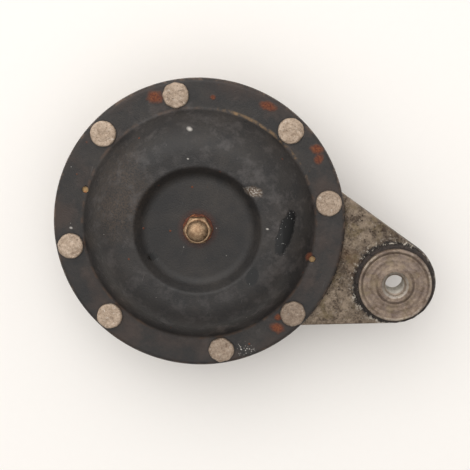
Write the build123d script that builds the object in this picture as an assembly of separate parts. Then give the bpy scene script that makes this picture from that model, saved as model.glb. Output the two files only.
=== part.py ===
from build123d import *
import os
from math import acos, cos, degrees, radians, sin

# Electric disc horn for a vehicle: a pressed front plate riveted over a cast housing that
# holds an electromagnet and its contact breaker, with a rubber-bushed mounting lug.
# Millimetres. The origin is on the disc's axis at the back rest face, +Z is the way the
# horn sounds, and +X points to the mounting lug.

os.makedirs("parts", exist_ok=True)

# ---- overall ----
disc_radius = 52.0          # outside of the front plate
body_depth = 36.0           # back rest face to the front of the rim
rest_gap = 0.1              # small gap between pieces that are seated with play
fit_gap = 0.05              # radial gap of a screw or pin in its hole

# ---- front plate ----
plate_thickness = 0.8
lip_depth = 2.2
edge_radius = 1.4
bulge_height = 12.0
bulge_base_radius = 41.3
bulge_shoulder_radius = 33.0
bulge_crown_radius = 12.0
recess_height = 7.9         # recess floor above the rim
recess_floor_radius = 19.0
recess_rim_radius = 22.4
drain_radius = 1.15

# ---- rim joint ----
gasket_thickness = 0.6
gasket_set_back = 0.5       # gasket short of the flange's edge
flange_thickness = 2.4
rivet_radius = 2.5
rivet_head_radius = 4.7
rivet_head_height = 1.35
rivet_tail_radius = 4.0
rivet_tail_height = 1.5
rivet_half_step = 18.15     # degrees each side of the four diagonals

# ---- housing ----
bowl_radius = 38.6
bowl_wall = 2.8
chamber_wall = 4.6          # wall of the rear chamber, which holds the terminals
mid_wall_bottom = 17.0
mid_wall_thickness = 3.0
rod_hole_radius = 5.0
lead_hole_radius = 1.6
rivet_pocket_gap = 1.6      # cast pocket round each rivet's tail
cover_boss_depth = 9.5      # threaded depth of the cover's bosses
edge_break = 0.5            # rounding of screw and rivet heads

# ---- mounting lug ----
lug_radius = 14.9
lug_gap = 6.4               # rim of the disc to the lug's round end
lug_drop = 2.6              # lug face below the front of the rim
lug_thickness = 5.5
rib_depth = 10.0
rib_width = 3.2
lug_edge_radius = 0.7

# ---- rubber bush and its steel sleeve ----
thread_radius = 4.0         # M8 mounting thread
thread_chamfer = 0.9
sleeve_radius = 6.5
grommet_neck_radius = 9.4
grommet_radius = 14.6
grommet_flange = 2.0
cup_radius = 13.1
cup_thickness = 2.0
cup_dish = 0.8
cup_rim = 0.8
bush_washer_thickness = 1.5
bush_washer_radius = 12.4
flare_height = 0.8
flare_radius = 7.6

# ---- electromagnet ----
pole_gap = 0.8              # armature to pole face at rest
armature_radius = 19.0
armature_thickness = 3.0
armature_boss_radius = 5.0
armature_boss_height = 0.7
pot_radius = 23.0
pot_wall = 2.5
pot_base = 3.0
core_radius = 7.5
core_spigot_radius = 6.0
core_bore_radius = 2.6
bobbin_wall = 1.0
coil_gap = 1.2              # winding short of the bobbin flange's edge
yoke_screw_circle = 14.0
yoke_screw_radius = 2.0     # M4
yoke_screw_head_radius = 3.4
yoke_screw_head_height = 2.0

# ---- centre fastening ----
rod_thread_radius = 2.5     # M5
rod_radius = 2.0
nut_across_flats = 9.0
nut_hex_height = 3.2
dome_radius = 3.8
dome_height = 3.4
nut_chamfer = 0.7
nut_turn = 47.0             # degrees
centre_washer_radius = 5.4
centre_washer_thickness = 0.9

# ---- contact breaker ----
stack_x = -26.5
stack_length = 12.0
stack_width = 14.0
stack_screw_radius = 1.5    # M3
stack_screw_spread = 4.0
small_head_radius = 2.75    # heads of the M3 screws
small_head_height = 1.8
small_slot = 0.8
ear_width = 4.0
leaf_gap = 0.2
contact_plane = 11.2
tip_radius = 2.2
tip_height = 1.4
tip_x = 8.0
moving_leaf_thickness = 0.4
moving_leaf_width = 8.0
moving_leaf_end = 11.0
fixed_leaf_thickness = 0.8
fixed_leaf_width = 12.0
fixed_leaf_end = 19.0
rod_clearance_radius = 4.0
push_gap = 0.15             # rod tip to moving leaf at rest
rod_tip_radius = 2.5
rod_tip_length = 3.6
rod_tip_socket = 1.6        # button's end to the rod's end
leaf_swing_room = 1.4       # moving leaf to the adjuster's bush

# ---- back cover ----
cover_thickness = 1.2
cover_radius = 38.2
bead_height = 2.4           # outer flange above the rest face
bead_inner_radius = 24.0
bead_outer_radius = 27.8
dish_depth = 5.0
dish_radius = 21.2
cover_gasket_thickness = 0.8
cover_screw_circle = 34.6
cover_screw_radius = 2.0    # M4
cover_screw_head_radius = 3.3
cover_screw_head_height = 2.0
cover_boss_radius = 4.0

# ---- contact adjuster ----
adjuster_x = 15.0
adjuster_radius = 2.5       # M5, pitch 0.8
adjuster_run_gap = 0.08
adjuster_end = 1.0          # slotted end above the rest face
adjuster_top = 10.2
lock_nut_across_flats = 8.0
lock_nut_height = 2.5
adjuster_bush_radius = 5.0
adjuster_neck_radius = 3.6
adjuster_tip_radius = 2.4
adjuster_nose_radius = 1.2
adjuster_cap_height = 1.2
nose_gap = 0.08

# ---- terminals ----
terminal_angles = (150.0, 210.0)
terminal_height = 10.4
terminal_seat = 39.4        # flat seat's distance from the axis
terminal_boss_radius = 6.0
stud_radius = 2.0           # M4
stud_end = 50.5
stud_head_inner = 27.0
stud_head_radius = 3.0
stud_head_length = 2.4
bush_neck_radius = 3.4
bush_flange_radius = 5.2
bush_flange_thickness = 1.6
terminal_washer_radius = 4.4
terminal_washer_thickness = 0.7
terminal_nut_across_flats = 7.0
terminal_nut_height = 2.2
wire_space = 0.8            # room for the loom's ring tag
stud_groove_radius = 1.7    # groove behind the stud's free end
stud_groove_length = 0.8

# ---- spark suppressor and leads ----
suppressor_radius = 4.0
suppressor_length = 18.0
suppressor_y = 20.0
suppressor_wire = 4.0       # length of each end wire
suppressor_wire_radius = 0.5
strap_width = 6.0
strap_thickness = 0.6
strap_foot_length = 6.5
strap_screw_offset = 4.0
lead_radius = 0.9
lead_circle = 18.0

# ---- levels and places that follow ----
rim_top = body_depth
rim_under = rim_top - plate_thickness
flange_top = rim_under - gasket_thickness
flange_under = flange_top - flange_thickness
flange_radius = disc_radius - plate_thickness - 0.2
rivet_circle = (bulge_base_radius + disc_radius) / 2
rivet_angles = [d + s * rivet_half_step for d in (45, 135, 225, 315) for s in (-1, 1)]

lug_x = disc_radius + lug_gap + lug_radius
lug_top = rim_top - lug_drop
lug_under = lug_top - lug_thickness
grommet_top = lug_top + grommet_flange
grommet_under = lug_under - grommet_flange
cup_top = grommet_top + cup_thickness
bush_washer_under = grommet_under - bush_washer_thickness
sleeve_end = bush_washer_under - flare_height

recess_top = rim_top + recess_height
armature_seat = recess_top - plate_thickness
armature_top = armature_seat - armature_boss_height
armature_under = armature_top - armature_thickness
pole_face = armature_under - pole_gap
washer_top = recess_top + centre_washer_thickness
hex_top = washer_top + nut_hex_height

mid_wall_top = mid_wall_bottom + mid_wall_thickness
pot_floor = mid_wall_top + pot_base
bobbin_bottom = pot_floor + rest_gap
bobbin_top = pole_face - 0.6
bobbin_bore = core_radius + rest_gap
bobbin_core = bobbin_bore + bobbin_wall
bobbin_radius = pot_radius - pot_wall - 0.3

cover_seat = bead_height + cover_thickness
bowl_bottom = cover_seat + cover_gasket_thickness
bowl_bore = bowl_radius - bowl_wall
chamber_bore = bowl_radius - chamber_wall
dish_floor = dish_depth + cover_thickness
cover_screw_angles = (0.0, 120.0, 240.0)
yoke_screw_angles = (60.0, 180.0, 300.0)
lead_angles = (150.0, 210.0)

stack_edge = stack_x + stack_length / 2
leaf_root = stack_edge + leaf_gap
moving_leaf_top = contact_plane - tip_height
moving_leaf_under = moving_leaf_top - moving_leaf_thickness
fixed_leaf_under = contact_plane + tip_height
fixed_leaf_top = fixed_leaf_under + fixed_leaf_thickness
clamp_top = moving_leaf_under - 1.0
clamp_under = clamp_top - 0.8
rod_tip_end = moving_leaf_top + push_gap
strap_screw_y = suppressor_y + suppressor_radius + rest_gap + strap_screw_offset
suppressor_z = (dish_floor + mid_wall_bottom) / 2
adjuster_bush_top = moving_leaf_under - leaf_swing_room
inner_washer = terminal_seat + bush_flange_thickness
lock_nut_inner = inner_washer + terminal_washer_thickness
outer_washer = lock_nut_inner + terminal_nut_height + wire_space
wire_nut_inner = outer_washer + terminal_washer_thickness
wire_nut_end = wire_nut_inner + terminal_nut_height
screw_tap_end = mid_wall_top - 0.6    # blind end of the M3 threads
adjuster_nose_top = fixed_leaf_under - nose_gap


# ---- small builders ----
def disc(radius, bottom, top, x=0.0, y=0.0):
    """An upright cylinder between two levels."""
    return Pos(x, y, (bottom + top) / 2) * Cylinder(radius, top - bottom)


def ring(outer, inner, bottom, top, x=0.0, y=0.0):
    """An upright tube between two levels."""
    return disc(outer, bottom, top, x, y) - disc(inner, bottom - 1, top + 1, x, y)


def slab(x0, x1, y0, y1, z0, z1):
    """A block between opposite corners."""
    middle = Pos((x0 + x1) / 2, (y0 + y1) / 2, (z0 + z1) / 2)
    return middle * Box(x1 - x0, y1 - y0, z1 - z0)


def hexagon(across_flats, bottom, top, turn=0.0):
    """An upright hexagonal prism on the Z axis."""
    face = RegularPolygon(across_flats / 2, 6, major_radius=False, rotation=turn)
    return Pos(0, 0, bottom) * extrude(face, amount=top - bottom)


def turned(points):
    """A solid of revolution about Z from its closed outline of radii and levels."""
    return revolve(Plane.XZ * make_face(Polyline(*points, close=True)), Axis.Z, 360)


def pressed(points, corner_radii, thickness):
    """Sheet metal of revolution: one face's outline, thickened to the right of its run."""
    line = FilletPolyline(*points, radius=corner_radii)
    outline = offset(line, amount=thickness, side=Side.RIGHT, closed=True)
    return revolve(Plane.XZ * make_face(outline.edges()), Axis.Z, 360)


def polar(radius, angle):
    """X and Y of a point at an angle in degrees."""
    return radius * cos(radians(angle)), radius * sin(radians(angle))


def at_circle(shape, radius, angles):
    """Copies of a shape, made at the origin, set round a circle."""
    return [Pos(*polar(radius, a), 0) * shape for a in angles]


def outward(radius, start, end):
    """A cylinder along +X between two distances from the axis."""
    return Pos((start + end) / 2, 0, 0) * Rot(0, 90, 0) * Cylinder(radius, end - start)


def at_terminals(shape):
    """Copies of a shape, made along +X at level zero, turned to the terminals."""
    return [Pos(0, 0, terminal_height) * Rot(0, 0, a) * shape for a in terminal_angles]


def save(node, *shapes):
    """Write one node's solids to its own file."""
    solids = [s for shape in shapes for s in shape.solids()]
    whole = solids[0] if len(solids) == 1 else Compound(children=solids)
    export_step(whole, f"parts/{node}.step")


# ---- front plate and what fastens it ----
def front_plate():
    """Pressed steel plate: rim with a turned-down lip, ring bulge and central recess."""
    points = [
        (rod_thread_radius + 0.2, recess_top),
        (recess_floor_radius, recess_top),
        (recess_rim_radius, rim_top + bulge_height),
        (bulge_shoulder_radius, rim_top + bulge_height),
        (bulge_base_radius, rim_top),
        (disc_radius, rim_top),
        (disc_radius, rim_top - lip_depth),
    ]
    plate = pressed(points, [4.0, 1.5, bulge_crown_radius, 1.6, edge_radius], plate_thickness)
    hole = disc(rivet_radius + fit_gap, flange_top, rim_top + 1)
    holes = at_circle(hole, rivet_circle, rivet_angles)
    drain = disc(drain_radius, flange_top, rim_top + 3)
    drains = at_circle(drain, bulge_base_radius + 0.9, (0, 180))
    return plate - holes - drains


def rim_gasket():
    """Varnished paper ring between the plate and the housing's flange."""
    inner = bowl_radius + gasket_thickness
    sheet = ring(flange_radius - gasket_set_back, inner, flange_top, rim_under)
    hole = disc(rivet_radius + fit_gap, flange_top - 1, rim_top)
    return sheet - at_circle(hole, rivet_circle, rivet_angles)


def rim_rivet():
    """Aluminium rivet: flat formed head in front, shank and set head behind."""
    head = disc(rivet_head_radius, rim_top, rim_top + rivet_head_height)
    head = fillet(head.edges().group_by(Axis.Z)[-1], edge_break)
    shank = disc(rivet_radius, flange_under, rim_top)
    tail = disc(rivet_tail_radius, flange_under - rivet_tail_height, flange_under)
    tail = chamfer(tail.edges().group_by(Axis.Z)[0], edge_break)
    return head + shank + tail


def centre_nut():
    """Brass dome nut on the rod's front thread."""
    body = hexagon(nut_across_flats, washer_top, hex_top, nut_turn)
    point = nut_across_flats / 2 / cos(radians(30))
    cone = turned(
        [
            (0, washer_top),
            (point, washer_top),
            (point, hex_top - nut_chamfer),
            (point - nut_chamfer, hex_top),
            (0, hex_top),
        ]
    )
    dome = disc(dome_radius, hex_top, hex_top + dome_height)
    dome = fillet(dome.edges().group_by(Axis.Z)[-1], dome_height * 0.92)
    bore = disc(rod_thread_radius + fit_gap, washer_top - 1, hex_top)
    return (body & cone) + dome - bore


# ---- armature ----
def armature():
    """Soft-iron disc screwed to the rod behind the front plate."""
    plate = disc(armature_radius, armature_under, armature_top)
    boss = disc(armature_boss_radius, armature_top, armature_seat)
    return plate + boss - disc(rod_thread_radius + fit_gap, armature_under - 1, armature_seat + 1)


def armature_rod():
    """Steel rod: M5 front thread through plate and nut, plain shank through the core."""
    thread = disc(rod_thread_radius, armature_under, hex_top - 0.4)
    shank = disc(rod_radius, rod_tip_end + rod_tip_socket, armature_under)
    return thread + shank


def rod_tip():
    """Insulating button on the rod's end, which pushes the moving contact leaf."""
    button = disc(rod_tip_radius, rod_tip_end, rod_tip_end + rod_tip_length)
    button = chamfer(button.edges().group_by(Axis.Z)[0], 0.4)
    return button - disc(rod_radius, rod_tip_end + rod_tip_socket, rod_tip_end + rod_tip_length + 1)


# ---- electromagnet ----
def magnet_pot():
    """Iron pot that carries the flux round the outside of the coil."""
    pot = disc(pot_radius, mid_wall_top, pole_face)
    pot -= disc(pot_radius - pot_wall, pot_floor, pole_face + 1)
    pot -= disc(core_spigot_radius, mid_wall_top - 1, pot_floor + 1)
    screw = disc(yoke_screw_radius + fit_gap, mid_wall_top - 1, pot_floor - 0.4)
    pot -= at_circle(screw, yoke_screw_circle, yoke_screw_angles)
    lead = disc(lead_hole_radius, mid_wall_top - 1, pot_floor + 1)
    return pot - at_circle(lead, lead_circle, lead_angles)


def magnet_core():
    """Hollow centre pole with a spigot pressed into the pot's base."""
    core = disc(core_radius, pot_floor, pole_face) + disc(core_spigot_radius, mid_wall_top, pot_floor)
    return core - disc(core_bore_radius, mid_wall_top - 1, pole_face + 1)


def coil_bobbin():
    """Moulded bobbin with two thin flanges."""
    tube = ring(bobbin_core, bobbin_bore, bobbin_bottom, bobbin_top)
    low = ring(bobbin_radius, bobbin_bore, bobbin_bottom, bobbin_bottom + bobbin_wall)
    high = ring(bobbin_radius, bobbin_bore, bobbin_top - bobbin_wall, bobbin_top)
    return tube + low + high


def coil_winding():
    """The wound copper wire as one solid."""
    low = bobbin_bottom + bobbin_wall
    return ring(bobbin_radius - coil_gap, bobbin_core, low, bobbin_top - bobbin_wall)


def coil_tape():
    """Cotton tape round the winding."""
    low = bobbin_bottom + bobbin_wall + 0.2
    winding = bobbin_radius - coil_gap
    return ring(winding + 0.4, winding, low, bobbin_top - bobbin_wall - 0.2)


def machine_screw(radius, head_radius, head_height, length, slot=1.0):
    """Slotted cheese-head screw, head down below level zero and shank up."""
    head = disc(head_radius, -head_height, 0)
    head = fillet(head.edges().group_by(Axis.Z)[0], edge_break)
    reach = head_radius + 1
    head -= slab(-reach, reach, -slot / 2, slot / 2, -head_height - 1, -head_height / 2)
    return head + disc(radius, 0, length)


# ---- housing ----
def lug_outline():
    """Top view of the lug: the bowl's circle, the lug's round end and their tangents."""
    tangent = degrees(acos((bowl_radius - lug_radius) / lug_x))
    near = polar(bowl_radius, tangent)
    far = polar(lug_radius, tangent)
    corners = [near, (lug_x + far[0], far[1]), (lug_x + far[0], -far[1]), (near[0], -near[1])]
    web = make_face(Polyline(*corners, close=True))
    return web + Circle(bowl_radius) + Pos(lug_x, 0) * Circle(lug_radius)


def casting():
    """Cast body: bowl with a middle wall, rim flange, terminal seats, lug and rib."""
    body = disc(bowl_radius, bowl_bottom, flange_top) + disc(flange_radius, flange_under, flange_top)
    lug = Pos(0, 0, lug_under) * extrude(lug_outline(), amount=lug_thickness)
    lug = fillet(lug.edges().filter_by(Plane.XY), lug_edge_radius)
    rib_end = lug_x - grommet_radius - 1.5
    rib_face = make_face(
        Polyline(
            (bowl_radius - 1.5, lug_under + 1),
            (bowl_radius - 1.5, lug_under - rib_depth),
            (rib_end, lug_under),
            (rib_end, lug_under + 1),
            close=True,
        )
    )
    rib = extrude(Plane.XZ * rib_face, amount=rib_width / 2, both=True)
    seats = at_terminals(outward(terminal_boss_radius, bowl_radius - 2, terminal_seat))
    body = body + lug + rib + seats
    body -= disc(bowl_bore, mid_wall_top, rim_top)
    chamber = disc(chamber_bore, bowl_bottom - 1, mid_wall_bottom)
    boss = disc(cover_boss_radius, 0, mid_wall_bottom + 1)
    chamber -= at_circle(boss, cover_screw_circle, cover_screw_angles)
    body -= chamber
    body -= disc(rod_hole_radius, mid_wall_bottom - 1, mid_wall_top + 1)
    pocket = disc(rivet_tail_radius + rivet_pocket_gap, 0, flange_under)
    outer = ring(2 * disc_radius, bowl_radius, 0, flange_under)
    body -= [p & outer for p in at_circle(pocket, rivet_circle, rivet_angles)]
    body -= at_circle(disc(rivet_radius + fit_gap, 0, rim_top), rivet_circle, rivet_angles)
    body -= disc(grommet_neck_radius + rest_gap, 0, rim_top, lug_x)
    body -= at_terminals(outward(bush_neck_radius + fit_gap, stud_head_inner, terminal_seat + 1))
    cover_thread = disc(cover_screw_radius + fit_gap, 0, bowl_bottom + cover_boss_depth)
    body -= at_circle(cover_thread, cover_screw_circle, cover_screw_angles)
    yoke_hole = disc(yoke_screw_radius + fit_gap, mid_wall_bottom - 1, mid_wall_top + 1)
    body -= at_circle(yoke_hole, yoke_screw_circle, yoke_screw_angles)
    lead_hole = disc(lead_hole_radius, mid_wall_bottom - 1, mid_wall_top + 1)
    body -= at_circle(lead_hole, lead_circle, lead_angles)
    small_thread = disc(stack_screw_radius + fit_gap, mid_wall_bottom - 1, screw_tap_end)
    body -= [Pos(stack_x, s * stack_screw_spread, 0) * small_thread for s in (-1, 1)]
    return body - Pos(0, strap_screw_y, 0) * small_thread


def rear_space():
    """Everything from the back up to the top of the middle wall, inside the rib."""
    return disc(bowl_radius, 0, mid_wall_top) + disc(2 * disc_radius, 0, mid_wall_bottom)


def bowl_space():
    """The inside of the bowl's outer wall above the middle wall."""
    return disc(bowl_radius, mid_wall_top, rim_top)


# ---- back cover ----
def back_cover():
    """Pressed cover: screwed flange, a flat bead that it rests on, and a sunk centre."""
    points = [
        (0.0, dish_floor),
        (dish_radius, dish_floor),
        (bead_inner_radius, cover_thickness),
        (bead_outer_radius, cover_thickness),
        (bead_outer_radius + 1.8, cover_seat),
        (cover_radius, cover_seat),
    ]
    cover = pressed(points, [0.8, 0.8, 0.8, 0.8], cover_thickness)
    screw_hole = disc(cover_screw_radius + 0.2, -1, cover_seat + 1)
    cover -= at_circle(screw_hole, cover_screw_circle, cover_screw_angles)
    return cover - disc(adjuster_neck_radius + fit_gap, dish_depth - 1, dish_floor + 1, adjuster_x)


def cover_gasket():
    """Cork ring between the cover and the bowl."""
    sheet = ring(cover_radius, bead_outer_radius + 2.0, cover_seat, bowl_bottom)
    hole = disc(cover_screw_radius + fit_gap, 0, bowl_bottom + 1)
    return sheet - at_circle(hole, cover_screw_circle, cover_screw_angles)


def cover_screw():
    """Slotted screw that holds the cover to a boss of the bowl."""
    length = bowl_bottom + cover_boss_depth - 0.5 - bead_height
    head = cover_screw_head_radius
    screw = machine_screw(cover_screw_radius, head, cover_screw_head_height, length)
    return Pos(0, 0, bead_height) * screw


# ---- contact breaker ----
def stack_plate(bottom, top):
    """One layer of the clamped contact stack, with its two screw holes."""
    half = stack_length / 2
    layer = slab(stack_x - half, stack_x + half, -stack_width / 2, stack_width / 2, bottom, top)
    hole = disc(stack_screw_radius + fit_gap, bottom - 1, top + 1, stack_x)
    return layer - [Pos(0, s * stack_screw_spread, 0) * hole for s in (-1, 1)]


def stack_insulators():
    """Three fibre layers that keep the two leaves apart and off the housing."""
    above = stack_plate(fixed_leaf_top, mid_wall_bottom)
    between = stack_plate(moving_leaf_top, fixed_leaf_under)
    below = stack_plate(clamp_top, moving_leaf_under)
    return [above, between, below]


def stack_clamp():
    """Steel plate under the screw heads."""
    return stack_plate(clamp_under, clamp_top)


def small_screw(length):
    """Slotted M3 screw, head down below level zero."""
    return machine_screw(stack_screw_radius, small_head_radius, small_head_height, length, small_slot)


def stack_screw():
    """M3 screw through the stack into the middle wall."""
    return Pos(stack_x, 0, clamp_under) * small_screw(screw_tap_end - 0.2 - clamp_under)


def leaf_clamped_end(bottom, top, ear_length):
    """Clamped end of a leaf, with an ear for its lead."""
    edge = -stack_width / 2
    ear = slab(stack_x, stack_x + ear_width, edge - ear_length, edge, bottom, top)
    return stack_plate(bottom, top) + ear


def fixed_leaf():
    """Free part of the stiff leaf, with clearance round the rod's tip."""
    half = fixed_leaf_width / 2
    leaf = slab(leaf_root, fixed_leaf_end, -half, half, fixed_leaf_under, fixed_leaf_top)
    leaf = fillet(leaf.edges().filter_by(Axis.Z).group_by(Axis.X)[-1], 3.0)
    return leaf - disc(rod_clearance_radius, fixed_leaf_under - 1, fixed_leaf_top + 1)


def moving_leaf():
    """Free part of the thin spring leaf under the rod's tip."""
    half = moving_leaf_width / 2
    leaf = slab(leaf_root, moving_leaf_end, -half, half, moving_leaf_under, moving_leaf_top)
    return fillet(leaf.edges().filter_by(Axis.Z).group_by(Axis.X)[-1], 2.5)


def fixed_contact():
    """Tungsten contact on the underside of the stiff leaf."""
    return disc(tip_radius, contact_plane, fixed_leaf_under, tip_x)


def moving_contact():
    """Tungsten contact on top of the spring leaf."""
    return disc(tip_radius, moving_leaf_top, contact_plane, tip_x)


# ---- contact adjuster ----
def adjuster_screw():
    """M5 screw with a slotted outer end inside the cover's sunk centre."""
    screw = disc(adjuster_radius, adjuster_end, adjuster_top, adjuster_x)
    reach = adjuster_radius + 1
    slot = slab(adjuster_x - reach, adjuster_x + reach, -0.5, 0.5, adjuster_end - 1, adjuster_end + 1)
    return chamfer(screw.edges().group_by(Axis.Z)[0], 0.4) - slot


def adjuster_tip():
    """Fibre cap on the screw's inner end, with a narrow nose under the stiff leaf."""
    cap = disc(adjuster_tip_radius, adjuster_top, adjuster_top + adjuster_cap_height, adjuster_x)
    return cap + disc(adjuster_nose_radius, adjuster_top, adjuster_nose_top, adjuster_x)


def adjuster_bush():
    """Threaded brass bush riveted into the cover."""
    flange = disc(adjuster_bush_radius, dish_floor, adjuster_bush_top, adjuster_x)
    neck = disc(adjuster_neck_radius, dish_depth, dish_floor, adjuster_x)
    bore = disc(adjuster_radius + adjuster_run_gap, 0, adjuster_top, adjuster_x)
    return flange + neck - bore


def adjuster_lock_nut():
    """Thin nut that locks the screw against the cover."""
    nut = hexagon(lock_nut_across_flats, dish_depth - lock_nut_height, dish_depth)
    return Pos(adjuster_x, 0, 0) * (nut - disc(adjuster_radius + adjuster_run_gap, 0, dish_depth + 1))


# ---- terminals, made along +X ----
def terminal_bush():
    """Moulded insulator through the wall, with a flange on the outer seat."""
    neck = outward(bush_neck_radius, chamber_bore - 1.5, terminal_seat)
    flange = outward(bush_flange_radius, terminal_seat, terminal_seat + bush_flange_thickness)
    return neck + flange - outward(stud_radius + fit_gap, 0, disc_radius)


def terminal_stud():
    """Brass stud with its head inside the rear chamber."""
    head = outward(stud_head_radius, stud_head_inner, stud_head_inner + stud_head_length)
    stud = head + outward(stud_radius, stud_head_inner, stud_end)
    start = wire_nut_end - stud_groove_length / 2
    groove = outward(stud_radius + 1, start, start + stud_groove_length)
    return stud - (groove - outward(stud_groove_radius, start - 1, stud_end))


def terminal_washer(inner):
    """Plain washer whose inner face is at a distance from the axis."""
    washer = outward(terminal_washer_radius, inner, inner + terminal_washer_thickness)
    return washer - outward(stud_radius + fit_gap, 0, disc_radius)


def terminal_nut(inner):
    """Brass hexagon nut whose inner face is at a distance from the axis."""
    nut = Rot(0, 90, 0) * hexagon(terminal_nut_across_flats, inner, inner + terminal_nut_height)
    return nut - outward(stud_radius + fit_gap, 0, disc_radius)


# ---- rubber bush and sleeve ----
def mount_grommet():
    """Rubber bush in the lug's hole, with a flange on each face."""
    neck = disc(grommet_neck_radius, lug_under, lug_top, lug_x)
    front = disc(grommet_radius, lug_top, grommet_top, lug_x)
    back = disc(grommet_radius, grommet_under, lug_under, lug_x)
    return neck + front + back - disc(sleeve_radius + rest_gap, 0, rim_top + 9, lug_x)


def mount_sleeve():
    """Turned steel sleeve: dished head, M8 thread through it, and a flared end."""
    dish = cup_top - cup_dish
    mouth = thread_radius + thread_chamfer
    outline = [
        (thread_radius, sleeve_end + thread_chamfer),
        (mouth, sleeve_end),
        (flare_radius, sleeve_end),
        (flare_radius, sleeve_end + flare_height),
        (sleeve_radius, sleeve_end + flare_height),
        (sleeve_radius, grommet_top),
        (cup_radius, grommet_top),
        (cup_radius, cup_top),
        (cup_radius - cup_rim, cup_top),
        (cup_radius - cup_rim - 0.9, dish),
        (sleeve_radius + 0.6, dish),
        (sleeve_radius - 0.4, cup_top - 0.1),
        (mouth, cup_top - 0.1),
        (thread_radius, cup_top - 0.1 - thread_chamfer),
    ]
    return Pos(lug_x, 0, 0) * turned(outline)


def mount_washer():
    """Steel washer that the flared end holds against the rubber."""
    return ring(bush_washer_radius, sleeve_radius + fit_gap, bush_washer_under, grommet_under, lug_x)


# ---- suppressor and leads ----
def suppressor():
    """Small wound resistor across the contacts, with its two end wires."""
    half = suppressor_length / 2
    reach = half + suppressor_wire
    body = fillet(outward(suppressor_radius, -half, half).edges(), edge_break)
    return Pos(0, suppressor_y, suppressor_z) * (body + outward(suppressor_wire_radius, -reach, reach))


def suppressor_strap():
    """Steel strap that holds the resistor under the middle wall."""
    inner = suppressor_radius + rest_gap
    outer = inner + strap_thickness
    half = strap_width / 2
    band = outward(outer, -half, half) - outward(inner, -half - 1, half + 1)
    top = mid_wall_bottom - suppressor_z
    leg = slab(-half, half, inner, outer, 0, top)
    foot = slab(-half, half, inner, outer + strap_foot_length, top - strap_thickness, top)
    hole = disc(stack_screw_radius + fit_gap, 0, top + 1, 0, strap_screw_y - suppressor_y)
    strap = band + leg + foot - hole
    return Pos(0, suppressor_y, suppressor_z) * strap


def strap_screw():
    """M3 screw through the strap's foot into the middle wall."""
    seat = mid_wall_bottom - strap_thickness
    return Pos(0, strap_screw_y, seat) * small_screw(screw_tap_end - 0.4 - seat)


def tube(points, bend):
    """An insulated lead along straight runs joined by arcs."""
    path = FilletPolyline(*points, radius=[bend] * (len(points) - 2))
    start = Plane(origin=points[0], z_dir=Vector(*points[1]) - Vector(*points[0]))
    return sweep(start * Circle(lead_radius), path=path)


def coil_leads():
    """Two leads from the coil: one to a terminal, one to the stiff leaf's ear."""
    first = polar(lead_circle, lead_angles[0])
    end = polar(stud_head_inner, terminal_angles[0])
    to_stud = tube([(*first, bobbin_bottom), (*first, terminal_height), (*end, terminal_height)], 4.0)
    second = polar(lead_circle, lead_angles[1])
    level = (fixed_leaf_under + fixed_leaf_top) / 2
    ear_edge = (stack_x + ear_width, second[1], level)
    to_leaf = tube([(*second, bobbin_bottom), (*second, level), ear_edge], 3.0)
    return [to_stud, to_leaf]


def yoke_screw():
    """M4 screw through the middle wall into the pot's base."""
    length = mid_wall_thickness + 2.4
    screw = machine_screw(yoke_screw_radius, yoke_screw_head_radius, yoke_screw_head_height, length)
    return Pos(0, 0, mid_wall_bottom) * screw


front_nodes = {
    "front_plate": [front_plate()],
    "rim_gasket": [rim_gasket()],
    "rim_rivets": at_circle(rim_rivet(), rivet_circle, rivet_angles),
    "centre_nut": [centre_nut()],
    "centre_washer": [ring(centre_washer_radius, rod_thread_radius + 0.1, recess_top, washer_top)],
}
magnet_nodes = {
    "armature": [armature()],
    "armature_rod": [armature_rod()],
    "rod_tip": [rod_tip()],
    "magnet_pot": [magnet_pot()],
    "magnet_core": [magnet_core()],
    "coil_bobbin": [coil_bobbin()],
    "coil_winding": [coil_winding()],
    "coil_tape": [coil_tape()],
    "yoke_screws": at_circle(yoke_screw(), yoke_screw_circle, yoke_screw_angles),
    "coil_leads": coil_leads(),
}
housing_nodes = {
    "housing": [casting() & rear_space()],
    "upper_bowl": [casting() & bowl_space()],
    "mounting_rim": [casting() - rear_space() - bowl_space()],
    "back_cover": [back_cover()],
    "cover_gasket": [cover_gasket()],
    "cover_screws": at_circle(cover_screw(), cover_screw_circle, cover_screw_angles),
}
breaker_nodes = {
    "stack_insulators": stack_insulators(),
    "stack_clamp": [stack_clamp()],
    "stack_screws": [Pos(0, s * stack_screw_spread, 0) * stack_screw() for s in (-1, 1)],
    "fixed_leaf_root": [leaf_clamped_end(fixed_leaf_under, fixed_leaf_top, 3.0)],
    "moving_leaf_root": [leaf_clamped_end(moving_leaf_under, moving_leaf_top, 2.0)],
    "fixed_leaf": [fixed_leaf()],
    "moving_leaf": [moving_leaf()],
    "fixed_contact": [fixed_contact()],
    "moving_contact": [moving_contact()],
    "adjuster_screw": [adjuster_screw()],
    "adjuster_tip": [adjuster_tip()],
    "adjuster_bush": [adjuster_bush()],
    "adjuster_lock_nut": [adjuster_lock_nut()],
    "suppressor": [suppressor()],
    "suppressor_strap": [suppressor_strap()],
    "strap_screw": [strap_screw()],
}
terminal_nodes = {
    "terminal_bushes": at_terminals(terminal_bush()),
    "terminal_studs": at_terminals(terminal_stud()),
    "terminal_washers": [w for d in (inner_washer, outer_washer) for w in at_terminals(terminal_washer(d))],
    "terminal_nuts": [n for d in (lock_nut_inner, wire_nut_inner) for n in at_terminals(terminal_nut(d))],
}
mount_nodes = {
    "mount_grommet": [mount_grommet()],
    "mount_sleeve": [mount_sleeve()],
    "mount_washer": [mount_washer()],
}

for group in (front_nodes, magnet_nodes, housing_nodes, breaker_nodes, terminal_nodes, mount_nodes):
    for node, shapes in group.items():
        save(node, *shapes)
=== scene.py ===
import math

import bpy
import numpy as np
from mathutils import Matrix, Vector


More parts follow.
